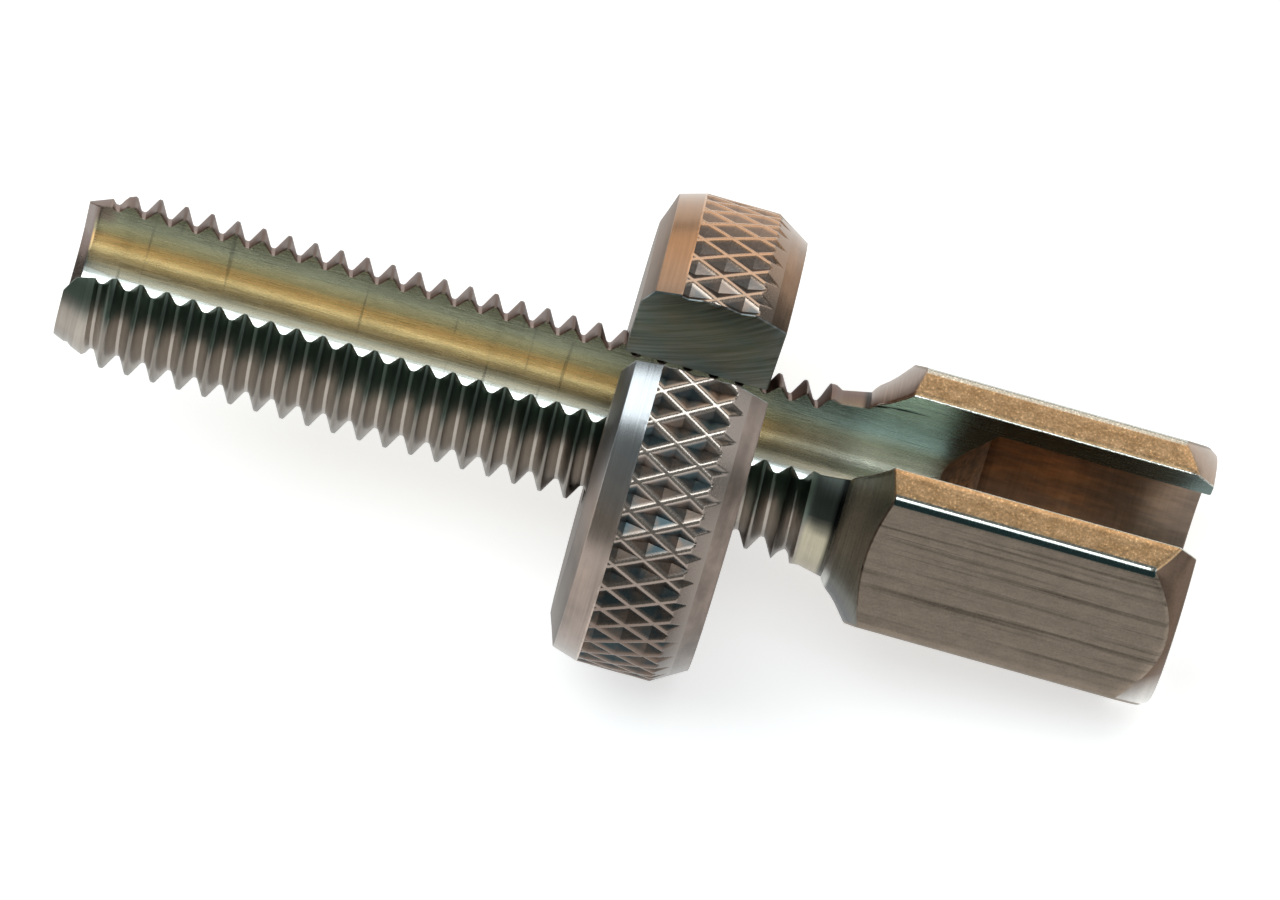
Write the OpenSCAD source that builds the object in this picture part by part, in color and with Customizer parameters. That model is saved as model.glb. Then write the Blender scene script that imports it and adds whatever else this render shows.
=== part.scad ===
// Slotted adjusting screw for a control cable, with its slotted knurled lock nut.
// It lies as it comes to rest, slot up: on the rim of the nut and on the lowest flat of the head,
// so the axis of the screw slopes down from the tip to the head, in the XZ plane.

/* [Thread] */
// Major diameter of the thread (M10)
thread_d = 10; // [9:0.1:11]
// Pitch of the thread
thread_pitch = 1.5; // [1.25:0.05:1.5]
// Diameter of the flat end of the tip
tip_d = 7.7; // [7.2:0.1:8]
// Length of the lead-in taper at the tip
lead_len = 2.9; // [1:0.1:5]
// Distance from the tip to the end of the full-depth thread
full_thread_len = 40.2; // [40:0.1:41.5]
// Distance from the tip to the end of the thread run-out
runout_end = 43.4; // [43:0.1:44]

/* [Shank] */
// Distance from the tip to where the shank starts to widen towards the cone
neck_x = 41; // [41:0.1:42.5]
// Distance from the tip to the foot of the cone under the head
shoulder_x = 45; // [44.5:0.1:46]
// Diameter of the plain shank where it meets the cone
shoulder_d = 10.8; // [10.2:0.1:11.4]
// Angle of the cone to the axis
cone_angle = 52; // [40:1:65]

/* [Head] */
// Overall length, tip to head end
total_len = 64.6; // [62:0.1:75]
// Hexagon, across flats
hex_af = 15; // [14.5:0.1:17]
// Turned diameter over the rounded hexagon corners
corner_d = 17.2; // [17:0.1:17.3]
// Diameter of the flat ring at the end of the head
end_face_d = 14.3; // [13.6:0.1:14.5]
// Angle of the taper at the end of the head, to the axis
end_taper = 33; // [25:1:50]

/* [Cable way] */
// Width of the slot along the whole screw, which has a half-round floor on the axis
slot_w = 4.7; // [3:0.1:5]
// Bore of the seat for the end of the cable casing
seat_d = 12.4; // [11:0.1:12.8]
// Full-diameter depth of the seat from the head end
seat_depth = 12.2; // [8:0.1:14]
// Drill-point angle at the bottom of the seat
point_angle = 118; // [90:1:140]

/* [Lock nut] */
// Diameter over the knurl
nut_d = 27.2; // [22:0.1:30]
// Thickness of the nut
nut_w = 8.25; // [7.5:0.05:9]
// Distance from the tip of the screw to the near face of the nut
nut_x = 31; // [30.5:0.1:31.5]
// Width of the slot in the nut
nut_slot_w = 4.3; // [3:0.1:4.7]
// How far the nut's slot is turned from the screw's, about the axis
nut_turn = 5; // [0:1:10]
// Length of the plain band between the tip-side edge and the knurl
band_len = 1.5; // [1:0.1:2]
// Drop of that band to the tip-side edge
band_drop = 0.43; // [0.2:0.01:0.8]
// Radial width of the shallow bevel on the tip-side face
bevel_w = 1.8; // [1:0.1:2.5]
// Angle of that bevel to the face
bevel_angle = 19; // [10:1:30]
// Radial width of the head-side chamfer
chamfer_w = 1.15; // [0.5:0.05:1.5]
// Angle of the head-side chamfer to the axis
chamfer_angle = 31; // [30:1:45]

/* [Knurl] */
// Ridges round the rim in each of the two crossing families
knurl_count = 49; // [40:1:54]
// Angle of the ridges to the axis
knurl_angle = 30; // [25:1:40]
// Width of the flat top of a ridge
ridge_w = 0.28; // [0.2:0.01:0.45]
// Depth of the pits between the ridges
pit_depth = 0.45; // [0.2:0.01:0.6]
// Distance from the near face of the nut to a row of ridge crossings
crossing_x = 4; // [3.5:0.1:5]
// Angle from the top of the nut to one of those crossings
crossing_angle = 38.6; // [30:0.1:45]

/* [Fits] */
// Radial clearance between the thread crests and the bore of the nut
thread_play = 0.05; // [0.02:0.01:0.1]

/* [Hidden] */
eps = 0.01;           // overlap of pieces that are fused
cut = 1;              // how far a cutter runs past the surface that it opens
pit_over = 0.05;      // the same for the pits of the knurl, which must not meet each other
flank = 30;           // half of the thread's profile angle
hex_turn = 30;        // brings a flat of the hexagon to the top
thread_r = thread_d / 2;
tip_r = tip_d / 2;
root_depth = 0.6134 * thread_pitch;
root_r = thread_r - root_depth;
root_flat = thread_pitch / 6;
first_groove = thread_pitch;
groove_count = floor((runout_end - 0.5 * thread_pitch - first_groove) / thread_pitch) + 1;
shoulder_r = shoulder_d / 2;
corner_r = corner_d / 2;
end_face_r = end_face_d / 2;
hex_r = hex_af / sqrt(3);
slot_r = slot_w / 2;
seat_r = seat_d / 2;
seat_x = total_len - seat_depth;
point_len = seat_r / tan(point_angle / 2);
cone_len = (corner_r - shoulder_r) / tan(cone_angle);
taper_len = (corner_r - end_face_r) / tan(end_taper);
nut_r = nut_d / 2;
band_r = nut_r - band_drop;
bevel_r = band_r - bevel_w;
bevel_len = bevel_w * tan(bevel_angle);
chamfer_len = chamfer_w / tan(chamfer_angle);
knurl_x = bevel_len + band_len;
pit_step = 360 / knurl_count;
lattice_b = PI * nut_r / knurl_count;                // half of a diamond's width, ridge middle to middle
lattice_a = lattice_b / tan(knurl_angle);            // and half of its length
pit_share = 1 - ridge_w / (2 * lattice_b * cos(knurl_angle));
pit_b = lattice_b * pit_share;
pit_a = lattice_a * pit_share;
first_row = ceil((knurl_x - pit_a - crossing_x) / lattice_a);
last_row = floor((nut_w - chamfer_len + pit_depth / tan(chamfer_angle) + pit_a - crossing_x) / lattice_a);
nut_bore_r = thread_r + thread_play;
flat_r = hex_af / 2;
flat_end_x = total_len - (flat_r - end_face_r) / tan(end_taper);
rim_x = nut_x + nut_w - chamfer_len;
rest_tilt = atan((nut_r - flat_r) / (flat_end_x - rim_x));
rest_height = nut_r * cos(rest_tilt) + rim_x * sin(rest_tilt);
back_reach = tip_r * sin(rest_tilt);
front_reach = total_len * cos(rest_tilt) + sqrt(pow(end_face_r, 2) - pow(slot_r, 2)) * sin(rest_tilt);
thread_fn = 40;       // facets round the thread
round_fn = 96;        // facets round everything else

// Radius of the blank before threading, at a distance x from the tip
function blank_r(x) =
    x < lead_len ? tip_r + (thread_r - tip_r) * x / lead_len
    : x < neck_x ? thread_r
    : thread_r + (shoulder_r - thread_r) * (x - neck_x) / (shoulder_x - neck_x);

// Radius at the bottom of a thread groove: constant, then rising through the run-out
function groove_r(x) =
    root_r + max(0, x - full_thread_len) * root_depth / (runout_end - full_thread_len);

// One groove of the thread's section as [radius, x] points, tip side first
function groove(x) =
    let (floor_r = groove_r(x),
         half = root_flat / 2,
         reach = half + (blank_r(x) - floor_r) * tan(flank))
    [[blank_r(x - reach), x - reach], [floor_r, x - half],
     [floor_r, x + half], [blank_r(x + reach), x + reach]];

// Section of the threaded shank, up to the foot of the cone
function shank_section() = concat(
    [[0, 0], [tip_r, 0]],
    [for (i = [0 : groove_count - 1], p = groove(first_groove + i * thread_pitch)) p],
    [[shoulder_r, shoulder_x], [shoulder_r, shoulder_x + eps], [0, shoulder_x + eps]]);

// Turns a [radius, x] section about the axis of the screw
module turned(section, facets) {
    rotate([0, 90, 0]) rotate_extrude($fn = facets) polygon(section);
}

// Lays down, as it rests, what is drawn along +X with the tip at the origin
module at_rest() {
    translate([(back_reach - front_reach) / 2, 0, rest_height])
        rotate([0, rest_tilt, 0]) children();
}

// The turned form of the head: cone, corners and end taper
module head_turning() {
    turned([
        [0, shoulder_x],
        [shoulder_r, shoulder_x],
        [corner_r, shoulder_x + cone_len],
        [corner_r, total_len - taper_len],
        [end_face_r, total_len],
        [0, total_len]
    ], round_fn);
}

// The hexagon bar that the head is turned from, with a flat on top
module hex_bar() {
    translate([shoulder_x, 0, 0]) rotate([hex_turn, 0, 0]) rotate([0, 90, 0])
        cylinder(h = total_len - shoulder_x, r = hex_r, $fn = 6);
}

// The cable's way in from the side: a slot down to the axis, with a half-round floor
module cable_slot() {
    run = total_len + 2 * cut;
    translate([-cut, 0, 0]) rotate([0, 90, 0]) cylinder(h = run, r = slot_r, $fn = round_fn);
    translate([-cut, -slot_r, 0]) cube([run, slot_w, corner_r + cut]);
}

// The drilled seat for the end of the cable casing
module casing_seat() {
    turned([
        [0, seat_x - point_len],
        [seat_r, seat_x],
        [seat_r, total_len + cut],
        [0, total_len + cut]
    ], round_fn);
}

module screw_body() {
    color([0.56, 0.52, 0.46]) at_rest() difference() {
        union() {
            turned(shank_section(), thread_fn);
            intersection() {
                hex_bar();
                head_turning();
            }
        }
        cable_slot();
        casing_seat();
    }
}

// Section of the nut: bevelled tip-side face, plain band, knurled rim, chamfer on the head side
function nut_section() = [
    [nut_bore_r, 0],
    [bevel_r, 0],
    [band_r, bevel_len],
    [nut_r, bevel_len + band_len],
    [nut_r, nut_w - chamfer_len],
    [nut_r - chamfer_w, nut_w],
    [nut_bore_r, nut_w]
];

// One pit of the knurl: a pyramid with its point inwards and its long diagonal along the axis
module pit() {
    wide = 1 + pit_over / pit_depth;
    polyhedron(
        points = [
            [0, 0, nut_r - pit_depth],
            [pit_a * wide, 0, nut_r + pit_over],
            [0, pit_b * wide, nut_r + pit_over],
            [-pit_a * wide, 0, nut_r + pit_over],
            [0, -pit_b * wide, nut_r + pit_over]
        ],
        faces = [[0, 1, 2], [0, 2, 3], [0, 3, 4], [0, 4, 1], [4, 3, 2, 1]]);
}

// All the pits, which start at the plain band and run out on the head-side chamfer
module knurl() {
    intersection() {
        for (row = [first_row : last_row], i = [0 : knurl_count - 1])
            rotate([crossing_angle + (i + 0.5 - abs(row % 2) / 2) * pit_step, 0, 0])
                translate([crossing_x + row * lattice_a, 0, 0]) pit();
        translate([knurl_x, 0, 0]) rotate([0, 90, 0])
            cylinder(h = nut_w, r = nut_r + cut, $fn = round_fn);
    }
}

module lock_nut() {
    color([0.60, 0.53, 0.47]) at_rest() translate([nut_x, 0, 0]) difference() {
        turned(nut_section(), round_fn);
        knurl();
        rotate([nut_turn, 0, 0])
            translate([-cut, -nut_slot_w / 2, 0]) cube([nut_w + 2 * cut, nut_slot_w, nut_r + cut]);
    }
}

screw_body();
lock_nut();
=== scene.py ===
import math

import bmesh
import bpy
import numpy as np
from mathutils import Matrix, Vector


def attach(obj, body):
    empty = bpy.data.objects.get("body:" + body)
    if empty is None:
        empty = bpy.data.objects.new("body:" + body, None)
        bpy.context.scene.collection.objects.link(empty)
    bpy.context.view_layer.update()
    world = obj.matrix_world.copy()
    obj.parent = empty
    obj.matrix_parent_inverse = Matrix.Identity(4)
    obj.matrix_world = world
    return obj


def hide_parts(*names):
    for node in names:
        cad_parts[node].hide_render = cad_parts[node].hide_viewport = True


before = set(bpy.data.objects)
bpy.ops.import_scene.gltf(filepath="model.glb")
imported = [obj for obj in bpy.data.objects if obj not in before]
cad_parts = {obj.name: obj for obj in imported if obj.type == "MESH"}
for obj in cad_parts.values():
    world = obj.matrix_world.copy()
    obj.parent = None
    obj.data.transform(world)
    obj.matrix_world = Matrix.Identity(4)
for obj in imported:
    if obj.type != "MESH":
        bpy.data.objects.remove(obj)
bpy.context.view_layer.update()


# ---- How the screw lies, and the camera ----
# Every shape is drawn in millimetres along the screw's own axis: x from the tip to the head, y to
# the back, z up through the slot. The screw lies on the rim of its lock nut and on the lowest flat
# of its head, so its axis slopes down towards the head.

TOTAL_LEN = 64.6
HEX_AF = 15.0
END_FACE_R = 7.15
END_TAPER = math.radians(33)
TIP_R = 3.85
SLOT_R = 2.35
NUT_X = 31.0
NUT_W = 8.25
NUT_R = 13.6
CHAMFER_W = 1.15
CHAMFER_ANGLE = math.radians(31)

FLAT_R = HEX_AF / 2
rim_x = NUT_X + NUT_W - CHAMFER_W / math.tan(CHAMFER_ANGLE)
flat_end_x = TOTAL_LEN - (FLAT_R - END_FACE_R) / math.tan(END_TAPER)
rest_tilt = math.atan((NUT_R - FLAT_R) / (flat_end_x - rim_x))
rest_height = NUT_R * math.cos(rest_tilt) + rim_x * math.sin(rest_tilt)
back_reach = TIP_R * math.sin(rest_tilt)
front_reach = (TOTAL_LEN * math.cos(rest_tilt)
               + math.sqrt(END_FACE_R ** 2 - SLOT_R ** 2) * math.sin(rest_tilt))
lay_place = Vector(((back_reach - front_reach) / 2, 0, rest_height)) * 0.001
lay = Matrix.Translation(lay_place) @ Matrix.Rotation(rest_tilt, 4, "Y") @ Matrix.Scale(0.001, 4)

# The camera looks steeply down from the front, its place and turn given along the screw's axes
CAMERA_PLACE = (22.08, -310.16, 543.67)
LENS = 314.3
SENSOR_WIDTH = 36
right = Vector((0.9627, 0.2262, 0.1484)).normalized()
up = Vector((-0.2700, 0.8397, 0.4712))
up = (up - right * up.dot(right)).normalized()
look = Matrix((right, up, right.cross(up))).transposed()
camera_data = bpy.data.cameras.new("camera")
camera_data.sensor_width = SENSOR_WIDTH
camera_data.lens = LENS
camera_data.clip_start = 0.05
camera_data.clip_end = 20
camera = bpy.data.objects.new("camera", camera_data)
bpy.context.scene.collection.objects.link(camera)
turn = Matrix.Rotation(rest_tilt, 3, "Y") @ look
camera.matrix_world = Matrix.LocRotScale(lay @ Vector(CAMERA_PLACE), turn, None)
bpy.context.scene.camera = camera


# ---- Floor and lights ----
# A pale table top under three soft lamps: a cool one above the camera, a wide warm one behind the
# screw and a weak one beyond its head.

class Field:
    """A value that varies over a surface. Arithmetic on it adds Math nodes to its graph."""

    def __init__(self, graph, socket):
        self.graph, self.socket = graph, socket

    def maths(self, operation, *operands):
        return self.graph.add("ShaderNodeMath", {"operation": operation}, dict(enumerate(operands)))

    def math(self, operation, *others): return self.maths(operation, self, *others)
    def output(self, name): return Field(self.graph, self.socket.node.outputs[name])
    def __add__(self, other): return self.maths("ADD", self, other)
    def __radd__(self, other): return self.maths("ADD", other, self)
    def __sub__(self, other): return self.maths("SUBTRACT", self, other)
    def __rsub__(self, other): return self.maths("SUBTRACT", other, self)
    def __mul__(self, other): return self.maths("MULTIPLY", self, other)
    def __rmul__(self, other): return self.maths("MULTIPLY", other, self)
    def __truediv__(self, other): return self.maths("DIVIDE", self, other)
    def __rtruediv__(self, other): return self.maths("DIVIDE", other, self)
    def __pow__(self, other): return self.maths("POWER", self, other)
    def __gt__(self, other): return self.maths("GREATER_THAN", self, other)
    def __lt__(self, other): return self.maths("LESS_THAN", self, other)
    def __abs__(self): return self.maths("ABSOLUTE", self)
    def at_most(self, other): return self.maths("MINIMUM", self, other)
    def at_least(self, other): return self.maths("MAXIMUM", self, other)

    def between(self, low, high):
        """0 up to low, 1 from high on, and a straight ramp from one to the other."""
        return ((self - low) / (high - low)).at_least(0.0).at_most(1.0)


class Graph:
    """A node tree being built."""

    def __init__(self, tree):
        self.tree = tree

    def add(self, kind, settings=None, inputs=None, output=0):
        """Adds a node: its settings first, then the values or links of its sockets."""
        made = self.tree.nodes.new(kind)
        for name, value in (settings or {}).items():
            if name == "stops":
                ramp = made.color_ramp
                while len(ramp.elements) < len(value):
                    ramp.elements.new(1.0)
                for element, (place, colour) in zip(ramp.elements, value):
                    element.position, element.color = place, (*colour, 1.0)
            else:
                setattr(made, name, value)
        for key, value in (inputs or {}).items():
            if isinstance(value, Field):
                self.tree.links.new(value.socket, made.inputs[key])
            else:
                made.inputs[key].default_value = value
        return Field(self, made.outputs[output]) if made.outputs else None


def new_material(name):
    """An empty material and the graph of its nodes."""
    material = bpy.data.materials.new(name)
    material.use_nodes = True
    material.node_tree.nodes.clear()
    return material, Graph(material.node_tree)


FLOOR = 3.0                     # half the side of the table top
FLOOR_GLOW = 0.58               # what it adds for the camera and in reflections, to look white
ROOM_LEVEL = 0.25
corners = [(-FLOOR, -FLOOR, 0), (FLOOR, -FLOOR, 0), (FLOOR, FLOOR, 0), (-FLOOR, FLOOR, 0)]
floor_mesh = bpy.data.meshes.new("table_top")
floor_mesh.from_pydata(corners, [], [(0, 1, 2, 3)])
floor = bpy.data.objects.new("table_top", floor_mesh)
bpy.context.scene.collection.objects.link(floor)
floor_material, graph = new_material("pale_table")
matt = graph.add("ShaderNodeBsdfDiffuse", None, {"Color": (0.8, 0.8, 0.8, 1)})
path = graph.add("ShaderNodeLightPath")
seen = path.at_least(path.output("Is Glossy Ray")).at_least(path.output("Is Transmission Ray"))
glow = graph.add("ShaderNodeEmission", None, {"Color": (1, 1, 1, 1), "Strength": FLOOR_GLOW})
lit = graph.add("ShaderNodeAddShader", None, {0: matt, 1: glow})
surface = graph.add("ShaderNodeMixShader", None, {"Fac": seen, 1: matt, 2: lit})
graph.add("ShaderNodeOutputMaterial", None, {"Surface": surface})
floor_mesh.materials.append(floor_material)

world = bpy.data.worlds.new("room")
world.use_nodes = True
world.node_tree.nodes.clear()
bpy.context.scene.world = world
graph = Graph(world.node_tree)
path = graph.add("ShaderNodeLightPath")
dim = graph.add("ShaderNodeBackground", None,
                {"Color": (0.92, 1.0, 0.97, 1), "Strength": ROOM_LEVEL})
white = graph.add("ShaderNodeBackground", None, {"Color": (1, 1, 1, 1), "Strength": 1.0})
backdrop = graph.add("ShaderNodeMixShader", None, {"Fac": path, 1: dim, 2: white})
graph.add("ShaderNodeOutputWorld", None, {"Surface": backdrop})


def soft_lamp(name, place, size, power, colour=(1, 1, 1)):
    """A rectangular lamp at a place, its first side along X, turned to the middle of the table."""
    data = bpy.data.lights.new(name, "AREA")
    data.shape, data.size, data.size_y = "RECTANGLE", *size
    data.energy, data.color = power, colour
    lamp = bpy.data.objects.new(name, data)
    bpy.context.scene.collection.objects.link(lamp)
    back = Vector(place).normalized()
    side = (Vector((1, 0, 0)) - back * back.x).normalized()
    turn = Matrix((side, back.cross(side), back)).transposed()
    lamp.matrix_world = Matrix.LocRotScale(Vector(place), turn, None)


soft_lamp("lamp_above_camera", (-0.06, -0.20, 0.86), (1.0, 0.36), 4.3, (0.88, 0.97, 1.0))
soft_lamp("lamp_behind", (0.0, 0.80, 0.47), (1.5, 0.8), 4.6, (1.0, 0.88, 0.74))
soft_lamp("lamp_beside", (0.86, -0.10, 0.34), (0.5, 0.5), 1.0, (0.95, 0.98, 1.0))


# ---- Screw ----
# One solid piece, turned from hexagon steel bar: threaded shank, collar, cone under the head and
# tapered head end. A slot with a half-round floor is milled along its whole length down to the
# axis, and a seat for the end of the cable casing is drilled into the head.

THREAD_R = 5.0
LEAD_LEN = 2.9
FULL_THREAD_LEN = 42.3
RUNOUT_END = 43.4
SHOULDER_X = 45.0
SHOULDER_R = 5.36
EDGE_BREAK = 0.07               # chamfer that deburring leaves along the edges
TIP_BREAK = 0.55                # and the wider one where the slot opens at the tip
SEAT_R = 6.2
SEAT_X = TOTAL_LEN - 12.2
POINT_ANGLE = math.radians(118)
HEX_FILLET = 0.7                # rounding along the six edges of the head
PITCH = 1.5
ROOT_R = THREAD_R - 0.6134 * PITCH      # the standard depth of a metric external thread
ROOT_FLAT = PITCH / 6
CREST_X = 0.286                 # a crest of the thread on the underside, from the tip
CORNER_SHARE = math.tan(math.pi / 6)


def hexagon_r(turn):
    """Distance from the axis to the rounded hexagon at an angle from the top, where a flat is."""
    off = math.pi / 6 - abs((turn + math.pi / 6) % (math.pi / 3) - math.pi / 6)
    corner = FLAT_R / math.cos(math.pi / 6)
    centre = corner - HEX_FILLET / math.cos(math.pi / 6)
    if FLAT_R * math.tan(math.pi / 6 - off) <= (FLAT_R - HEX_FILLET) * CORNER_SHARE:
        return FLAT_R / math.cos(math.pi / 6 - off)
    return centre * math.cos(off) + math.sqrt(HEX_FILLET ** 2 - (centre * math.sin(off)) ** 2)


def slot_angle(r, half_width=SLOT_R):
    """Angle from the middle of a slot at which a circle of radius r meets the slot's wall."""
    return np.arcsin(np.minimum(1.0, half_width / np.asarray(r, float)))


def run(a, b, steps):
    """Evenly spaced values from a up to, and without, b."""
    return list(np.linspace(a, b, steps + 1))[:-1]


rounding = math.pi / 6 - math.atan(CORNER_SHARE * (1 - HEX_FILLET / FLAT_R))
shared_from = math.radians(60)  # from here down, the columns of shank and head are in line
lower = []
start = shared_from
for corner, steps in ((math.pi / 2, 9), (math.pi * 5 / 6, 16)):
    lower += run(start, corner - rounding, steps) + run(corner - rounding, corner + rounding, 6)
    start = corner + rounding
lower += run(start, math.pi, 9)
shank_top = run(float(slot_angle(THREAD_R)), shared_from, 18)
head_top = (run(math.atan(SLOT_R / FLAT_R), math.pi / 6 - rounding, 4)
            + run(math.pi / 6 - rounding, math.pi / 6 + rounding, 6)
            + run(math.pi / 6 + rounding, shared_from, 8))


def right_round(half):
    """Angles of the columns from the back edge of the slot, under the screw, to its front edge."""
    return np.array(half + [math.pi] + [2 * math.pi - turn for turn in reversed(half)])


shank_turns = right_round(shank_top + lower)
head_turns = right_round(head_top + lower)
edge_pull = np.zeros(len(shank_turns))      # how far a column follows the edge of the slot
edge_pull[:18] = 1 - np.arange(18) / 18
edge_pull[-18:] = -edge_pull[:18][::-1]


def blank_r(x):
    """Radius of the shank before threading: lead-in, shank, swollen last turn and collar."""
    return np.interp(x, (0, LEAD_LEN, 40.85, 42.5, 43.0, RUNOUT_END, SHOULDER_X),
                     (TIP_R, THREAD_R, THREAD_R, 5.22, 5.24, 5.03, SHOULDER_R))


def cone_x(r):
    """Distance from the tip of the cone under the head, which starts with a small bead."""
    return np.interp(r, (SHOULDER_R, 5.8, 6.4, 7.45, 8.6), (SHOULDER_X, 45.27, 46.02, 46.9, 47.58))


def slot_half(x):
    """Half the width of the slot, which is broken open at the tip."""
    return SLOT_R + np.maximum(0, TIP_BREAK - x)


def round_points(x, r, turns):
    return np.stack([x, r * np.sin(turns), r * np.cos(turns)], axis=-1)


def outer_row(x, r, turns, half):
    """Points of one row from slot wall to slot wall, with the broken edges beside the walls."""
    sides = np.array([0, -1])
    pulled = turns + edge_pull * (slot_angle(r, half + EDGE_BREAK) - slot_angle(r))
    row = round_points(x, r, pulled)
    wall_r = r[sides] - EDGE_BREAK
    wall_turns = np.array([1, -1]) * slot_angle(wall_r, half[sides])
    walls = round_points(x[sides], wall_r, wall_turns)
    halves.append(np.concatenate([half[:1], half + EDGE_BREAK, half[-1:]]))
    return np.concatenate([walls[:1], row, walls[1:]])


# Rows of the shank follow the helix, closer together at the crests and the roots of the thread
stations = (-0.44, -0.38, -0.28, -0.16, -0.075, -0.05, 0, 0.05, 0.075, 0.16, 0.28, 0.38, 0.44, 0.5)
row_x = [-0.65] + [x for m in range(-1, 31) for x in [CREST_X + PITCH * (m + s) for s in stations]
                   if -0.64 < x < RUNOUT_END]
row_x += list(np.linspace(RUNOUT_END + 0.1, SHOULDER_X, 6))
lean = -PITCH * (shank_turns - math.pi) / math.tau
floor_turns = np.linspace(math.pi / 2, math.pi * 3 / 2, 37)
floor_lean = np.linspace(lean[0], lean[-1], 37)
outer, floor_rows, halves = [], [], []
for x in row_x:
    kept = np.clip((SHOULDER_X - x) / (SHOULDER_X - RUNOUT_END), 0, 1)
    xs = np.maximum(0, x + lean * kept)
    r = blank_r(xs)
    turns = shank_turns + edge_pull * (slot_angle(r) - slot_angle(THREAD_R))
    outer.append(outer_row(xs, r, turns, slot_half(xs)))
    floor_xs = np.maximum(0, x + floor_lean * kept)
    floor_rows.append(round_points(floor_xs, slot_half(floor_xs), floor_turns))
shank_rows = len(row_x)

# Rows of the head: cone, flats and end taper outside; slot, drill point and seat inside
across = np.array([hexagon_r(turn) for turn in head_turns])
foot_turns = shank_turns + edge_pull * (slot_angle(SHOULDER_R) - slot_angle(THREAD_R))
plain_half = np.full(len(head_turns), SLOT_R)
for t in (0.12, 0.24, 0.42, 0.6, 0.8, 0.97):
    r = SHOULDER_R + t * (across - SHOULDER_R)
    turns = foot_turns + t * (head_turns - foot_turns)
    turns += edge_pull * (slot_angle(r[0]) - turns[0])
    outer.append(outer_row(cone_x(r), r, turns, plain_half))
flat_x = cone_x(across) + EDGE_BREAK / 2
taper_x = TOTAL_LEN - (across - END_FACE_R) / math.tan(END_TAPER)
for t in (0.0, 0.03, 0.97, 1.0):
    xs = flat_x + t * (taper_x - EDGE_BREAK - flat_x)
    outer.append(outer_row(xs, across, head_turns, plain_half))
end_ring = np.full(len(head_turns), END_FACE_R)
for r in (across - EDGE_BREAK / 2, (across + end_ring) / 2, end_ring + EDGE_BREAK / 2):
    turns = head_turns + edge_pull * (slot_angle(r[0]) - head_turns[0])
    xs = TOTAL_LEN - (r - END_FACE_R) / math.tan(END_TAPER)
    outer.append(outer_row(xs, r, turns, plain_half))
turns = head_turns + edge_pull * (slot_angle(END_FACE_R) - head_turns[0])
outer.append(outer_row(TOTAL_LEN + 0 * turns, end_ring - EDGE_BREAK, turns, plain_half))

wall_turns = np.array(run(float(slot_angle(SEAT_R)), math.pi / 2, 14))
inner_turns = np.concatenate([wall_turns, floor_turns, math.tau - wall_turns[::-1]])
slot_r = SLOT_R / np.where(np.cos(inner_turns) > 0, np.abs(np.sin(inner_turns)), 1.0)
slot_end = SEAT_X - (SEAT_R - slot_r) / math.tan(POINT_ANGLE / 2)
inner = []
for t in (0.25, 0.5, 0.75, 0.99, 1.0):
    inner.append(round_points(SHOULDER_X + t * (slot_end - SHOULDER_X), slot_r, inner_turns))
for t in (0.02, 0.35, 0.7, 1.0):
    r = slot_r + t * (SEAT_R - slot_r)
    inner.append(round_points(slot_end + t * (SEAT_X - slot_end), r, inner_turns))
for t in (0.01, 0.35, 0.7, 0.993, 1.0):
    x = SEAT_X + t * (TOTAL_LEN - SEAT_X) + 0 * inner_turns
    inner.append(round_points(x, SEAT_R if t < 1 else SEAT_R + EDGE_BREAK, inner_turns))
assert len(inner) == len(outer) - shank_rows

THREAD, SLOT, SEAT, HEAD = range(4)
points, faces, finishes = [], [], []


def add_points(rows):
    """Adds rows of points; returns their numbers, row by row."""
    first = len(points)
    rows = np.array(rows)
    points.extend(rows.reshape(-1, 3).tolist())
    return np.arange(first, len(points)).reshape(rows.shape[:2])


def add_skin(a, b, finish):
    """Quads between two rows of points."""
    for i in range(len(a) - 1):
        faces.append((a[i], a[i + 1], b[i + 1], b[i]))
        finishes.append(finish)


outer = add_points(outer)
floor_rows = add_points(floor_rows)
inner = add_points(inner)
last = shank_rows - 1
for i in range(len(outer) - 1):
    add_skin(outer[i], outer[i + 1], THREAD if i < last else HEAD)
for i in range(last):
    add_skin(floor_rows[i], floor_rows[i + 1], SLOT)
    add_skin([outer[i, 0], floor_rows[i, 0]], [outer[i + 1, 0], floor_rows[i + 1, 0]], SLOT)
    add_skin([floor_rows[i, -1], outer[i, -1]], [floor_rows[i + 1, -1], outer[i + 1, -1]], SLOT)
walls = len(wall_turns)
add_skin(floor_rows[last], inner[0, walls:-walls], SLOT)
faces.append((outer[last, 0], outer[last + 1, 0], *inner[0, :walls + 1], floor_rows[last, 0]))
faces.append((outer[last, -1], outer[last + 1, -1], *inner[0, -walls - 1:][::-1],
              floor_rows[last, -1]))
finishes += [SLOT, SLOT]
for i in range(len(inner) - 1):
    add_skin(inner[i], inner[i + 1], SLOT if i < 4 else SEAT)
    for side in (0, -1):
        add_skin([outer[last + 1 + i, side], inner[i, side]],
                 [outer[last + 2 + i, side], inner[i + 1, side]], SLOT)
faces.append((*outer[0], *floor_rows[0][::-1]))
faces.append((*outer[-1], *inner[-1][::-1]))
finishes += [THREAD, HEAD]

screw_mesh = bpy.data.meshes.new("screw")
screw_mesh.from_pydata(points, [], [tuple(int(i) for i in face) for face in faces])
screw_mesh.polygons.foreach_set("material_index", finishes)
marks = {"threaded": np.zeros(len(points)), "edge_pull": np.zeros(len(points)),
         "half_width": np.full(len(points), SLOT_R), "inset": np.zeros(len(points))}
marks["threaded"][outer[:shank_rows]] = 1
marks["edge_pull"][outer] = np.concatenate([[1], edge_pull, [-1]])
marks["half_width"][outer] = np.array(halves)
marks["inset"][outer[:, [0, -1]]] = EDGE_BREAK


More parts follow.
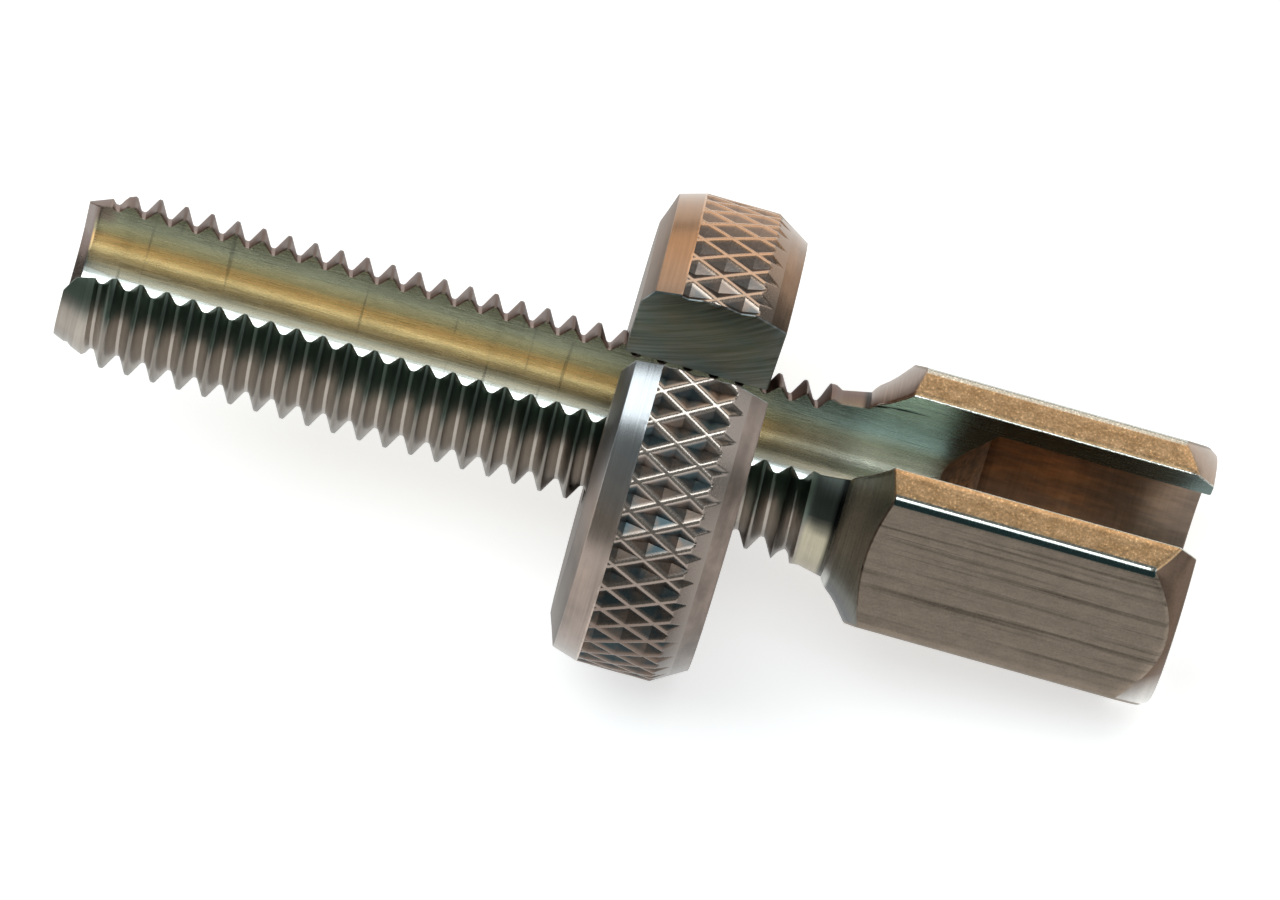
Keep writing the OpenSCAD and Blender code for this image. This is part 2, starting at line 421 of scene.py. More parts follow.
def set_marks(mesh, values, domain="POINT"):
    """Stores a number for every point, or every face, of the mesh under each name."""
    for name, numbers in values.items():
        stored = mesh.attributes.new(name, "FLOAT", domain)
        stored.data.foreach_set("value", numbers.astype(np.float32))


set_marks(screw_mesh, marks)
screw = bpy.data.objects.new("screw", screw_mesh)
bpy.context.scene.collection.objects.link(screw)


def start_tree(name, sizes):
    """A Geometry Nodes graph with a named input for each size. Returns it, its mesh and them."""
    graph = Graph(bpy.data.node_groups.new(name, "GeometryNodeTree"))
    for in_out in ("INPUT", "OUTPUT"):
        graph.tree.interface.new_socket("Mesh", in_out=in_out, socket_type="NodeSocketGeometry")
    for size in sizes:
        graph.tree.interface.new_socket(size, in_out="INPUT", socket_type="NodeSocketFloat")
    mesh = graph.add("NodeGroupInput", output="Mesh")
    return graph, mesh, [mesh.output(size) for size in sizes]


def end_tree(graph, mesh, chosen, material):
    """Ends a graph: real mesh, with a material on the chosen faces."""
    real = graph.add("GeometryNodeRealizeInstances", None, {"Geometry": mesh})
    skinned = graph.add("GeometryNodeSetMaterial", None,
                        {"Geometry": real, "Selection": chosen, "Material": material})
    graph.add("NodeGroupOutput", None, {"Mesh": skinned})


def run_tree(piece, graph, sizes):
    """Runs a graph on a piece once and keeps its result as the piece's plain mesh."""
    modifier = piece.modifiers.new(graph.tree.name, "NODES")
    modifier.node_group = graph.tree
    for item in graph.tree.interface.items_tree:
        if item.name in sizes:
            modifier[item.identifier] = float(sizes[item.name])
    bpy.context.view_layer.update()
    result = piece.evaluated_get(bpy.context.evaluated_depsgraph_get())
    piece.data = bpy.data.meshes.new_from_object(result)
    piece.modifiers.clear()


def axis_place(graph):
    """Position in a Geometry Nodes graph: x, angle from the top and distance from the axis."""
    place = graph.add("ShaderNodeSeparateXYZ", None,
                      {"Vector": graph.add("GeometryNodeInputPosition")})
    y, z = place.output("Y"), place.output("Z")
    return place, y.math("ARCTAN2", z), (y * y + z * z) ** 0.5


def move_round(graph, mesh, chosen, x, turned, r):
    """Moves the chosen points to new places round the axis."""
    spot = graph.add("ShaderNodeCombineXYZ", None,
                     {"X": x, "Y": r * turned.math("SINE"), "Z": r * turned.math("COSINE")})
    return graph.add("GeometryNodeSetPosition", None,
                     {"Geometry": mesh, "Selection": chosen, "Position": spot})


def mark(graph, name):
    return graph.add("GeometryNodeInputNamedAttribute", {"data_type": "FLOAT"}, {"Name": name},
                     output="Attribute")


def follow_wall(graph, turned, r, new_r):
    """The angle that keeps a point beside a slot at its distance from the slot's middle."""
    half = mark(graph, "half_width")
    shift = (half / new_r).math("ARCSINE") - (half / r).math("ARCSINE")
    return turned + mark(graph, "edge_pull") * shift


thread_sizes = {"Pitch": PITCH, "Root Radius": ROOT_R, "Root Flat": ROOT_FLAT,
                "Flank Slope": 1 / math.tan(math.radians(30)), "Crest Start": CREST_X,
                "Full Thread End": FULL_THREAD_LEN, "Run-out Slope": 0.85, "Rounding": 0.08}


def cut_thread(material):
    """Turns the shank's surface into a right-hand V thread that runs out towards the collar."""
    graph, mesh, sizes = start_tree("cut_thread", thread_sizes)
    pitch, root, flat, slope, crest, full_end, run_out, rounding = sizes
    x, turned, r = axis_place(graph)
    from_crest = x - crest + pitch * (turned / math.tau - 0.5)
    from_root = pitch * 0.5 - from_crest.math("PINGPONG", pitch * 0.5)
    bottom = root + (x - full_end).at_least(0.0) * run_out
    vee = bottom + (from_root - flat * 0.5).at_least(0.0) * slope
    inset = mark(graph, "inset")
    vee = vee.math("SMOOTH_MAX", bottom, rounding)
    new_r = (r + inset).math("SMOOTH_MIN", vee, rounding) - inset
    shank = mark(graph, "threaded") > 0.5
    turned = follow_wall(graph, turned, r, new_r)
    end_tree(graph, move_round(graph, mesh, shank, x, turned, new_r), shank, material)
    return graph


def lay_down(piece, corner_angle):
    """Closes seams, turns faces outwards, lays the piece as it rests and sets its shading."""
    made = bmesh.new()
    made.from_mesh(piece.data)
    bmesh.ops.remove_doubles(made, verts=made.verts, dist=1e-5)
    bmesh.ops.dissolve_degenerate(made, edges=made.edges, dist=1e-6)
    bmesh.ops.triangulate(made, faces=[face for face in made.faces if len(face.verts) > 4])
    bmesh.ops.recalc_face_normals(made, faces=made.faces)
    bmesh.ops.transform(made, matrix=lay, verts=made.verts)
    made.to_mesh(piece.data)
    made.free()
    piece.data.shade_smooth()
    piece.data.set_sharp_from_angle(angle=math.radians(corner_angle))


def tone(red, green, blue):
    """A colour from display values of 0 to 255."""
    return tuple(((v / 255 + 0.055) / 1.055) ** 2.4 for v in (red, green, blue))


class Finish(Graph):
    """The graph of a metal surface, with the place of each point in millimetres along the screw."""

    def __init__(self, name):
        self.material = bpy.data.materials.new(name)
        self.material.use_nodes = True
        super().__init__(self.material.node_tree)
        self.tree.nodes.clear()
        spot = self.add("ShaderNodeTexCoord", output="Object")
        self.place = self.add("ShaderNodeMapping", {"vector_type": "TEXTURE"},
                              {"Vector": spot, "Location": lay_place, "Rotation": (0, rest_tilt, 0),
                               "Scale": (0.001, 0.001, 0.001)})
        self.x = self.add("ShaderNodeSeparateXYZ", None, {"Vector": self.place})
        self.y, self.z = self.x.output("Y"), self.x.output("Z")
        self.r = (self.y * self.y + self.z * self.z) ** 0.5

    def grain(self, fineness, detail=2.0, roughness=0.5, place=None):
        """Noise from 0 to 1, mostly near 0.5; each axis has its own fineness, per millimetre."""
        fine = self.add("ShaderNodeVectorMath", {"operation": "MULTIPLY"},
                        {0: place or self.place, 1: fineness})
        return self.add("ShaderNodeTexNoise", None, {"Vector": fine, "Scale": 1.0, "Detail": detail,
                                                     "Roughness": roughness})

    def turned_lines(self, fineness, wander=0.5, detail=2.0):
        """Fine lines that a lathe leaves round the axis, on cylinders, cones and faces alike."""
        round_axis = self.add("ShaderNodeCombineXYZ", None,
                              {"X": self.x + self.r * 1.3, "Y": self.y, "Z": self.z})
        return self.grain((fineness, wander, wander), detail, 0.6, round_axis)

    def mix(self, share, a, b):
        """Colour a, replaced by colour b to the extent of a share from 0 to 1."""
        a, b = ((*c, 1.0) if isinstance(c, tuple) else c for c in (a, b))
        return self.add("ShaderNodeMix", {"data_type": "RGBA"}, {0: share, 6: a, 7: b}, output=2)

    def shade(self, colour, share):
        """A colour made lighter or darker by a factor that varies."""
        grey = self.add("ShaderNodeCombineXYZ", None, {"X": share, "Y": share, "Z": share})
        return self.add("ShaderNodeVectorMath", {"operation": "MULTIPLY"}, {0: colour, 1: grey})

    def done(self, colour, roughness, height, depth):
        """Ends the graph; height is 0 to 1 and depth, in millimetres, says what 1 stands for."""
        bump = self.add("ShaderNodeBump", None, {"Strength": 1.0, "Distance": depth * 0.001,
                                                 "Height": height})
        shader = self.add("ShaderNodeBsdfPrincipled", None,
                          {"Base Color": colour, "Metallic": 1.0, "Roughness": roughness,
                           "Normal": bump})
        self.add("ShaderNodeOutputMaterial", None, {"Surface": shader})
        return self.material


def thread_finish():
    """Thread and collar: fine lathe lines, with painted light and shade: a dark teal reflection at
    the top near the slot, a warm brown reflection at the back, a blue-grey one under the collar,
    shade underneath and at the foot, and flanks lighter than the crests.
    """
    f = Finish("thread_steel")
    lines = f.turned_lines(9.0, 0.35)
    patches = f.grain((0.35, 0.6, 0.6), 3.0)
    crest = (f.r - 4.1).between(0.35, 0.85) * (f.x < FULL_THREAD_LEN)
    plain = (f.x > FULL_THREAD_LEN - 0.5).at_least(f.x < 1.2)
    # Painted reflection: the back of the thread is painted warm brown.
    far_warm_reflection = f.y.between(0.5, 3.5)
    front = 1.0 - f.y.between(-1.0, 1.0)
    # Painted reflection: the top of the thread near the slot is painted dark teal, darker still on
    # the collar.
    dark_top_reflection = (f.z - 1.8 + (patches - 0.5) * 2.0).between(0.0, 1.2) * front
    collar = (f.x - RUNOUT_END).between(-0.3, 0.0)
    # Painted shade: the thread is darker underneath, up to the collar.
    shade_underneath = (f.z * -1.0).between(-0.5, 2.5) * (1.0 - collar)
    # Painted shade in the corner at the foot of the cone.
    shade_at_foot = (f.x - SHOULDER_X).between(-0.45, -0.2)
    # Painted light and reflection: the collar is painted blue-grey below and light and warm above.
    on_collar = f.mix(f.z.between(-4.5, -2.0), tone(134, 146, 160), tone(168, 160, 140))
    colour = f.mix(collar, tone(146, 138, 130), on_collar)
    colour = f.mix(dark_top_reflection, colour, f.mix(collar, tone(94, 104, 95), tone(66, 70, 66)))
    colour = f.mix(far_warm_reflection, colour, tone(104, 78, 68))
    # Painted light and shade: the flanks are painted lighter than the crests, to make up for the
    # shade down in the thread.
    level = (1.35 - crest * 0.55 - shade_underneath * 0.5 - plain * 0.25 - shade_at_foot * 0.95
             + (lines - 0.5) * 0.5 + (patches - 0.5) * 0.5)
    rough = 0.3 + (patches - 0.4).at_least(0.0) * 0.3 + far_warm_reflection * 0.15
    return f.done(f.shade(colour, level), rough, lines, 0.004)


# Tones of the slot, by degrees up its wall: 0 is its bottom, and the wall at the back is past 90
# These carry painted light over the metal's own tint: the white low on the front side is a painted
# highlight, and the golden middle and greenish walls are partly painted reflection.
SHANK_TONES_AND_LIGHT = ((-60, tone(250, 243, 224)), (25, tone(250, 255, 252)), (41, tone(165, 174, 172)),
               (60, tone(226, 206, 160)), (90, tone(250, 206, 142)), (110, tone(170, 160, 124)),
               (136, tone(125, 125, 106)))
HEAD_TONES_AND_LIGHT = ((-60, tone(250, 243, 224)), (30, tone(248, 255, 255)), (95, tone(255, 255, 242)),
              (118, tone(184, 190, 172)), (136, tone(146, 168, 163)))


def slot_finish():
    """Milled slot: zinc, with painted light: a white highlight low on the front side, golden along
    the middle and greenish up the walls, partly painted reflection, and shade beside the last turns
    and deep in the head.
    """
    f = Finish("milled_slot")
    up_wall = f.y.math("ARCTAN2", f.z * -1.0) / math.tau + 0.5      # 0.5 at the bottom of the slot
    wobble = f.grain((0.25, 0.9, 0.9), 3.0)
    band = up_wall + (wobble - 0.5) * 0.03
    in_shank, in_head = (
        f.add("ShaderNodeValToRGB", {"stops": [(0.5 + turn / 360, tint) for turn, tint in tones]},
              {"Fac": band}) for tones in (SHANK_TONES_AND_LIGHT, HEAD_TONES_AND_LIGHT))
    tip_top = (f.x * -1.0 + 1.9).between(0.0, 0.6) * f.z.between(1.4, 2.4)
    tip_break = (f.x * -1.0).between(-0.6, -0.5)
    # Painted shade: the slot is darker beside the last turns of the thread.
    shade_by_last_turns = (1.0 - abs(f.x - 42.5) / 3.5).at_least(0.0).at_most(0.5)     # beside the last turns
    # Painted shade deep inside the head.
    shade_deep_in_head = (f.x - 49.0).between(0.0, 4.0)
    shank = f.x.between(40.0, 36.0)
    streaks = f.grain((0.45, 7.0, 7.0), 3.0)
    strokes = f.grain((6.0, 0.4, 0.4), 2.0)
    marks = (f.grain((2.2, 0.12, 0.12), 1.0) - 0.68).at_least(0.0) * 7.0   # across, from the cutter
    colour = f.mix((f.x - 39.0).between(0.0, 6.0), in_shank, in_head)
    colour = f.mix(tip_top, colour, tone(112, 96, 84))
    colour = f.mix(tip_break, colour, tone(126, 110, 104))
    level = (0.95 + (streaks - 0.5) * (0.16 + shank * 0.24) + (wobble - 0.5) * 0.35
             - marks.at_most(0.35) * shank - shade_by_last_turns * 0.5)
    level = level * (1.0 - shade_deep_in_head * 0.5)
    rough = 0.26 + (streaks - 0.5).at_least(0.0) * 0.4
    return f.done(f.shade(colour, level), rough, streaks * 0.7 + strokes * 0.3, 0.010)


def seat_finish():
    """Drilled seat: brown, rust-coloured in patches, greyer towards the open end, with painted
    shade where the drill point meets it.
    """
    f = Finish("drilled_seat")
    patches = f.grain((0.22, 0.9, 0.9), 4.0, 0.6)
    streaks = f.grain((0.5, 3.0, 3.0), 3.0, 0.6)
    rings = f.turned_lines(6.0, 0.3)
    rust = (patches - 0.42).between(0.0, 0.22)
    open_end = (f.x - TOTAL_LEN).between(-7.5, -0.5)
    # Painted shade in the corner at the bottom of the seat.
    shade_at_drill_point = (SEAT_X - f.x).between(-0.6, 0.6)
    colour = f.mix(rust, tone(178, 152, 130), tone(230, 184, 140))
    colour = f.mix(open_end, colour, tone(120, 104, 92))
    level = 0.98 + (rings - 0.5) * 0.35 + (streaks - 0.5) * 0.8 - shade_at_drill_point * 0.72
    return f.done(f.shade(colour, level), 0.36 + rings * 0.1, rings * 0.5 + streaks * 0.5, 0.01)


def hexagon_finish():
    """Drawn hexagon bar: draw lines along its sides, turned cone and end, with painted light:
    golden top flats with glints, highlights and a dark reflection on the edges, the cone light
    above and dark below, the end white below, a warm far side.
    """
    f = Finish("hexagon_bar")
    across = abs(f.z).at_least(abs(f.z * 0.5 + f.y * 0.866)).at_least(abs(f.z * 0.5 - f.y * 0.866))
    turned = 1.0 - (across - FLAT_R).between(-0.14, -0.11)            # cone and end, not the flats
    # Painted light: the top flats are painted golden and lighter than the sides.
    top = (f.z - FLAT_R).between(-0.3, -0.1) * (1.0 - turned)
    edge_start = math.hypot(FLAT_R, (FLAT_R - HEX_FILLET) * CORNER_SHARE)
    edge = (f.r - edge_start).between(0.0, 0.03) * (1.0 - turned)     # the rounded edges
    upper_edge = edge * (f.z > 4.0)
    # The lower half of the rounded edges at the front is painted dark teal, as a painted
    # reflection.
    below = (f.z * -1.0 + FLAT_R).between(0.07, 0.12) * (f.y < 0.0)   # their lower, darker half
    # The burr along the slot is real; its pale colour is a painted highlight.
    burr = (abs(f.y) - SLOT_R).between(0.11, 0.08) * (f.z > 0.0)
    highlit_edges = upper_edge.at_least(burr)
    from_foot = f.x - SHOULDER_X
    # Painted highlight: a pale streak on the bead at the foot of the cone.
    bead = from_foot.between(0.45, 0.3) * f.z.between(-3.6, -2.6) * f.z.between(3.0, 0.0)
    # Painted reflection: the far side of the cone and the end is painted pinkish brown.
    far_warm_reflection = f.y.between(0.0, 2.0)
    upper = f.z.between(-1.5, 3.0) * (1.0 - turned) * (1.0 - top) * (1.0 - edge)
    fine = f.grain((7.0, 7.0, 7.0), 3.0, 0.6)
    coarse = f.grain((1.0, 1.6, 1.6), 3.0)
    draw = f.grain((0.05, 2.6, 2.6), 4.0, 0.6)
    lines = f.turned_lines(7.0, 0.2)
    golden = f.mix(coarse.between(0.35, 0.7), tone(192, 156, 116), tone(220, 183, 143))
    side = f.mix(coarse.between(0.35, 0.7), tone(139, 125, 112), tone(150, 135, 121))
    # Painted light and reflection: the cone is painted light above and dark blue-grey below.
    cone = f.mix(f.z.between(-1.5, 2.5), tone(34, 42, 50), tone(182, 180, 164))
    cone = f.mix(bead, cone, tone(224, 226, 220))
    cone = f.mix(far_warm_reflection, cone, tone(140, 118, 104))
    # Painted light: the end taper is painted near white below and dark brown above.
    end = f.mix(f.z.between(-3.0, 1.5), tone(255, 252, 248), tone(104, 86, 74))
    end = f.mix(far_warm_reflection, end, tone(168, 146, 130))
    colour = f.mix(turned, f.mix(top, side, golden), f.mix(f.x > 55.0, cone, end))
    # Painted highlight on the upper edges and the burr, and a painted dark reflection on the lower
    # half of the edges.
    edge_light_and_shade = f.mix(below * upper_edge, tone(190, 188, 180), tone(66, 88, 90))
    colour = f.mix(highlit_edges, colour, edge_light_and_shade)
    scored = (0.5 - draw).at_least(0.0) * upper * 3.0
    sparkle = (fine - 0.6).at_least(0.0) * 6.0
    # Painted glints on the top flats, and a little painted shade on the lower edges.
    level = (0.92 + (fine - 0.5) * (0.5 + top * 0.9) + sparkle * top - scored
             + (lines - 0.5) * turned * 0.8 - edge * (f.z < 4.0) * 0.1)
    rough = (0.42 - top * 0.04 - turned * 0.1 + (fine - 0.5) * 0.2) * (1.0 - highlit_edges * 0.65)
    height = fine * (1.0 - turned) * 0.6 + draw * (1.0 - top) * (1.0 - turned) + lines * turned
    return f.done(f.shade(colour, level), rough, height * (1.0 - edge * 0.7) + burr * fine, 0.012)


thread_steel = thread_finish()
for material in (thread_steel, slot_finish(), seat_finish(), hexagon_finish()):
    screw.data.materials.append(material)
run_tree(screw, cut_thread(thread_steel), thread_sizes)
lay_down(screw, 40)
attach(screw, "screw")
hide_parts("screw_body")


# ---- Lock nut ----
# A loose ring turned from the same bar stock, threaded to run on the screw and knurled in a diamond
# pattern over its rim and part of its chamfer. A slot cut through to the bore lets the cable in.

NUT_SLOT_R = 2.15
NUT_TURN = math.radians(-5)     # the nut's slot stands a little to the front of the screw's
BORE_R = 5.05
BEVEL_R = 11.37
BAND_R = 13.17
BEVEL_LEN = 0.62
KNURL_X = 2.12
KNURL_COUNT = 49
PIT_DEPTH = 0.45
RIDGE_W = 0.18
KNURL_ANGLE = math.radians(30)
CROSSING_X = 4.0
CROSSING_TURN = math.radians(-38.6)
CHAMFER_X = NUT_W - CHAMFER_W / math.tan(CHAMFER_ANGLE)

COLUMNS_A_RIDGE = 24
column_step = math.tau / KNURL_COUNT / COLUMNS_A_RIDGE
row_step = column_step * NUT_R / math.tan(KNURL_ANGLE)
rim_edge = float(slot_angle(NUT_R, NUT_SLOT_R + EDGE_BREAK))
first = math.ceil((NUT_TURN + rim_edge - CROSSING_TURN) / column_step + 0.3)
final = math.floor((NUT_TURN - rim_edge + math.tau - CROSSING_TURN) / column_step - 0.3)
grid = [CROSSING_TURN + column_step * k for k in range(first, final + 1)]
rim_turns = np.array([NUT_TURN + rim_edge] + grid + [NUT_TURN - rim_edge + math.tau])


def nut_turns(r):
    """Angles of the columns at a radius: the ones near the slot follow its straight walls."""
    from_slot = rim_turns - NUT_TURN
    half = np.minimum(from_slot, math.tau - from_slot)
    reach = math.radians(75)
    edge = float(slot_angle(r, NUT_SLOT_R + EDGE_BREAK))
    stretch = (reach - edge) / (reach - rim_edge)
    moved = np.where(half < reach, reach - (reach - half) * stretch, half)
    return NUT_TURN + np.where(from_slot < math.pi, moved, math.tau - moved)


profile = [(0.0, BEVEL_R), (0.0, BEVEL_R + 0.05), (BEVEL_LEN * 0.5, (BEVEL_R + BAND_R) / 2),
           (BEVEL_LEN - 0.02, BAND_R - 0.05), (BEVEL_LEN + 0.03, BAND_R + 0.005)]
profile += [(x, BAND_R + (NUT_R - BAND_R) * (x - BEVEL_LEN) / (KNURL_X - BEVEL_LEN))
            for x in (1.0, 1.6, KNURL_X)]
first_row = math.ceil((KNURL_X + 0.03 - CROSSING_X) / row_step)
knurl_rows = [CROSSING_X + row_step * k for k in range(first_row, 60)]
profile += [(KNURL_X + 0.02, NUT_R)] + [(x, NUT_R) for x in knurl_rows if x < CHAMFER_X - 0.03]
profile += [(CHAMFER_X, NUT_R)]
profile += [(x, NUT_R - (x - CHAMFER_X) * math.tan(CHAMFER_ANGLE))
            for x in knurl_rows if CHAMFER_X + 0.03 < x < CHAMFER_X + 0.95]
profile += [(NUT_W - 0.5, NUT_R - CHAMFER_W + 0.5 * math.tan(CHAMFER_ANGLE)),
            (NUT_W - 0.05, NUT_R - CHAMFER_W + 0.05 * math.tan(CHAMFER_ANGLE)),
            (NUT_W, NUT_R - CHAMFER_W)]

points, faces, finishes = [], [], []
FACE, KNURL, WALL = range(3)
rim = add_points([round_points(NUT_X + x + 0 * rim_turns, r, nut_turns(r)) for x, r in profile])
for i in range(len(profile) - 1):
    knurled = KNURL_X <= profile[i][0] < CHAMFER_X + 0.9
    add_skin(rim[i], rim[i + 1], KNURL if knurled else FACE)
picked = list(range(0, rim.shape[1], 8))
if picked[-1] != rim.shape[1] - 1:
    picked.append(rim.shape[1] - 1)
bore_turns = nut_turns(BORE_R)[picked]
bore = add_points([round_points(NUT_X + x + 0 * bore_turns, BORE_R, bore_turns)
                   for x in np.linspace(NUT_W, 0, 7)])
for i in range(len(bore) - 1):
    add_skin(bore[i], bore[i + 1], FACE)
for ring, row in ((rim[-1], bore[0]), (rim[0], bore[-1])):
    for k in range(len(picked) - 1):
        faces.append((*ring[picked[k]:picked[k + 1] + 1], row[k + 1], row[k]))
        finishes.append(FACE)
wall_rows = []
for side, sign in ((0, 1), (-1, -1)):
    loop = [(x, r) for x, r in profile] + [(x, BORE_R) for x in np.linspace(NUT_W, 0, 7)]
    loop = np.array([(min(max(x, EDGE_BREAK), NUT_W - EDGE_BREAK),
                      r - EDGE_BREAK if r > BORE_R else r) for x, r in loop])
    wall = add_points([round_points(NUT_X + loop[:, 0], loop[:, 1],
                                    NUT_TURN + sign * slot_angle(loop[:, 1], NUT_SLOT_R))])[0]
    edge = [*rim[:, side], *bore[:, side]]
    add_skin(edge + edge[:1], [*wall, wall[0]], WALL)
    faces.append(tuple(wall))
    finishes.append(WALL)
    wall_rows.append(wall[:len(profile)])

nut_mesh = bpy.data.meshes.new("lock_nut")
nut_mesh.from_pydata(points, [], [tuple(int(i) for i in face) for face in faces])
nut_mesh.polygons.foreach_set("material_index", finishes)
marks = {"knurled": np.zeros(len(points)), "edge_pull": np.zeros(len(points)),
         "half_width": np.full(len(points), NUT_SLOT_R + EDGE_BREAK),
         "inset": np.zeros(len(points))}
near_slot = np.zeros(rim.shape[1])
near_slot[:10] = 1 - np.arange(10) / 10
near_slot[-10:] = -near_slot[:10][::-1]
marks["edge_pull"][rim] = near_slot
for wall, sign in zip(wall_rows, (1, -1)):
    marks["edge_pull"][wall] = sign
    marks["half_width"][wall] = NUT_SLOT_R
    marks["inset"][wall] = EDGE_BREAK
for i, (x, r) in enumerate(profile):
    if KNURL_X < x < NUT_W - 0.5:
        marks["knurled"][[*rim[i], *(wall[i] for wall in wall_rows)]] = 1
set_marks(nut_mesh, marks)
set_marks(nut_mesh, {"rim_face": np.array(finishes) == KNURL}, "FACE")
nut = bpy.data.objects.new("knurled_nut", nut_mesh)
bpy.context.scene.collection.objects.link(nut)

knurl_sizes = {"Ridge Count": KNURL_COUNT, "Rim Radius": NUT_R, "Pit Depth": PIT_DEPTH,
               "Ridge Width": RIDGE_W, "Ridge Slope": math.tan(KNURL_ANGLE),
               "Crossing Distance": NUT_X + CROSSING_X, "Crossing Turn": CROSSING_TURN}


def press_knurl(material):
    """Sinks pyramid pits between two families of ridges that cross all round the rim."""
    graph, mesh, sizes = start_tree("press_knurl", knurl_sizes)
    count, rim_r, depth, width, slope, crossing_x, crossing = sizes
    x, turned, r = axis_place(graph)
    step = math.tau * rim_r / count                     # arc from ridge to ridge of one family
    along = (x - crossing_x) * slope / step
    round_it = (turned - crossing) * rim_r / step
    to_a = (round_it - along).math("PINGPONG", 0.5)     # 0 on a ridge, 0.5 midway
    to_b = (round_it + along).math("PINGPONG", 0.5)
    square = 1.0 / (1.0 + slope * slope) ** 0.5         # from arc to distance across a ridge
    flat = width / (2.0 * step * square)
    share = (to_a.at_most(to_b) - flat).at_least(0.0) / (0.5 - flat)
    inset = mark(graph, "inset")
    new_r = (r + inset).at_most(rim_r - depth * share) - inset
    knurled = mark(graph, "knurled") > 0.5
    turned = follow_wall(graph, turned, r, new_r)
    moved = move_round(graph, mesh, knurled, x, turned, new_r)
    cut = graph.add("GeometryNodeTriangulate", {"quad_method": "SHORTEST_DIAGONAL"},
                    {"Mesh": moved})
    end_tree(graph, cut, mark(graph, "rim_face") > 0.5, material)
    return graph


def turned_finish():
    """Turned band, bevel, faces and chamfer: pinkish grey with lathe lines, with painted light: a
    golden reflection on the far side, a highlight and a brighter middle at the front, a glint
    beside the knurl, and shade low down.
    """
    f = Finish("turned_face")
    lines = f.turned_lines(8.0, 0.12, 3.0)
    patches = f.grain((0.6, 0.35, 0.35), 4.0, 0.6)
    stains = f.grain((1.1, 0.7, 0.7), 4.0, 0.65)
    # Painted reflection: the far upper part is painted golden brown.
    golden = f.y.between(-1.0, 5.0) * f.z.between(0.0, 9.0)
    bevel = 1.0 - (f.x - NUT_X).between(BEVEL_LEN - 0.03, BEVEL_LEN + 0.03)
    head_side = (f.x - NUT_X - CHAMFER_X).between(0.0, 0.1)
    chamfer = head_side * (f.x - NUT_X - NUT_W).between(0.0, -0.06)
    # Painted shade: the chamfer is darker towards the bottom.
    low = (f.z * -1.0).between(-2.0, 8.0)
    # Painted highlight: a pale grey patch near the top of the band at the front.
    band_highlight = (f.y * -1.0).between(1.0, 3.0) * f.z.between(8.0, 11.0) * (1.0 - head_side)
    # Painted light: the front of the band is brighter part way down.
    middle = f.z.between(11.0, 9.5) * f.z.between(4.0, 6.5) * (f.y < 0.0) * (1.0 - head_side)
    # Painted highlight: a broken bright line on the band beside the knurl.
    by_knurl = (f.x - NUT_X - KNURL_X).between(-0.14, -0.06) * (1.0 - head_side)
    wear_and_glint = by_knurl * (stains - 0.42).between(0.0, 0.16)
    colour = f.mix(patches.between(0.35, 0.65), tone(138, 125, 117), tone(151, 135, 126))
    colour = f.mix(golden, colour, tone(158, 123, 95))
    colour = f.mix(band_highlight, colour, tone(150, 151, 153))
    level = (0.96 + (lines - 0.5) * 0.6 + (patches - 0.5) * (0.2 + chamfer * 0.3)
             + (stains - 0.5) * chamfer * 0.35 - bevel * 0.48 - head_side * (0.28 + low * 0.14)
             + wear_and_glint * 0.7 + middle * 0.38)
    rough = 0.25 + (lines - 0.5) * 0.1 + (bevel + head_side - chamfer) * 0.2 - band_highlight * 0.06
    return f.done(f.shade(colour, level), rough, lines * 0.8 + patches * 0.2, 0.01)


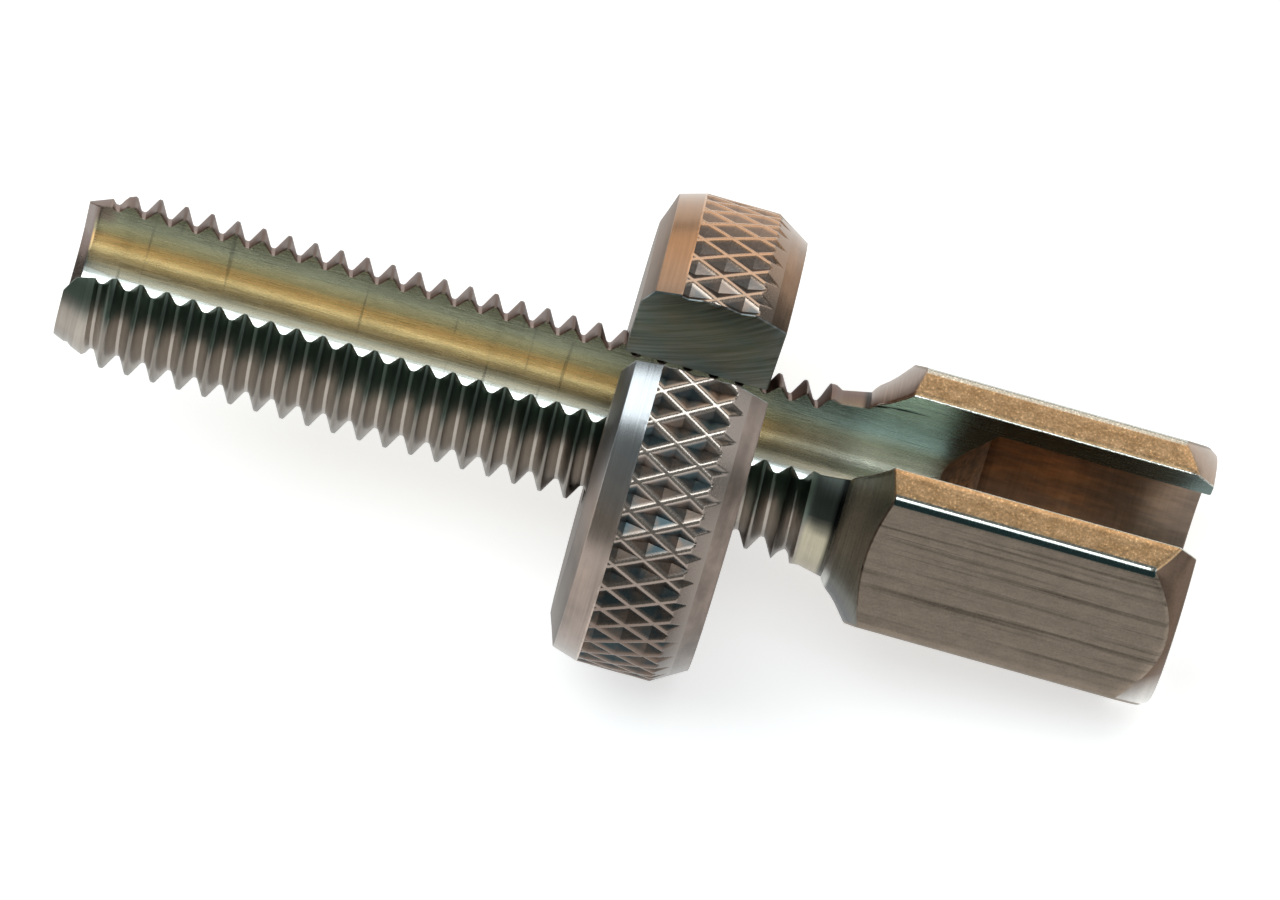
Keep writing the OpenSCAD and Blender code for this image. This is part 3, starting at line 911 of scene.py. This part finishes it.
def knurl_finish():
    """Pressed knurl: ridges lighter, partly wear and partly painted light; pits painted dark
    blue-green as shade; a golden reflection painted on the far side and shade low down.
    """
    f = Finish("knurled_rim")
    patches = f.grain((0.8, 0.8, 0.8), 3.0)
    fine = f.grain((9.0, 9.0, 9.0), 2.0)
    # Painted reflection: the far upper part of the knurl is painted golden.
    golden = f.y.between(0.0, 6.0) * f.z.between(0.0, 9.0)
    past_rim = (f.x - NUT_X - CHAMFER_X).at_least(0.0)
    rim = 1.0 - past_rim.at_most(1.0)
    ridge = (f.r + past_rim * math.tan(CHAMFER_ANGLE) - NUT_R).between(-0.14, -0.02)
    grit = (fine - 0.5) * (1.0 - (1.0 - rim) * ridge)
    # Painted shade: the rim is darker towards the bottom.
    low = (f.z * -1.0).between(-11.0, 0.0) * rim
    on_ridge = f.mix(low, tone(164, 152, 144), tone(128, 110, 100))
    on_ridge = f.mix(golden, on_ridge, tone(170, 138, 114))
    # Painted shade: the pits are painted dark blue-green.
    pit_colour_and_shade = f.mix(patches.between(0.38, 0.62), tone(72, 84, 88), tone(116, 100, 90))
    pit_colour_and_shade = f.mix(golden, pit_colour_and_shade, tone(146, 130, 122))
    colour = f.mix(ridge, pit_colour_and_shade, on_ridge)
    # The ridges are lighter than the pits, partly wear and partly painted light.
    wear_and_glint = 0.34 - past_rim.between(0.0, 0.1) * 0.6
    level = (0.92 + ridge * wear_and_glint + grit * 0.5) * (1.0 - low * 0.36)
    rough = 0.26 + grit * 0.2 + (1.0 - ridge) * rim * 0.08
    return f.done(f.shade(colour, level), rough, grit, 0.005)


def sawn_finish():
    """Walls of the nut's slot: dark green-grey, with the curved strokes of a slitting saw."""
    f = Finish("sawn_slot")
    saw_x, saw_z = 24.0, 22.0                       # the saw's middle, as it cut
    reach = ((f.x - saw_x) ** 2.0 + (f.z - saw_z) ** 2.0) ** 0.5
    arcs = f.add("ShaderNodeCombineXYZ", None, {"X": reach, "Y": f.x, "Z": f.z})
    strokes = f.grain((3.0, 0.15, 0.15), 3.0, 0.6, arcs)
    patches = f.grain((0.5, 0.5, 0.5), 2.0)
    colour = f.mix(patches.between(0.35, 0.65), tone(108, 122, 126), tone(122, 122, 120))
    level = 0.95 + (strokes - 0.5) * 2.2
    return f.done(f.shade(colour, level), 0.36, strokes, 0.03)


knurled_steel = knurl_finish()
for material in (turned_finish(), knurled_steel, sawn_finish()):
    nut.data.materials.append(material)
run_tree(nut, press_knurl(knurled_steel), knurl_sizes)
lay_down(nut, 30)
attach(nut, "nut")
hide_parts("lock_nut")

bpy.context.scene.view_settings.view_transform = "Standard"
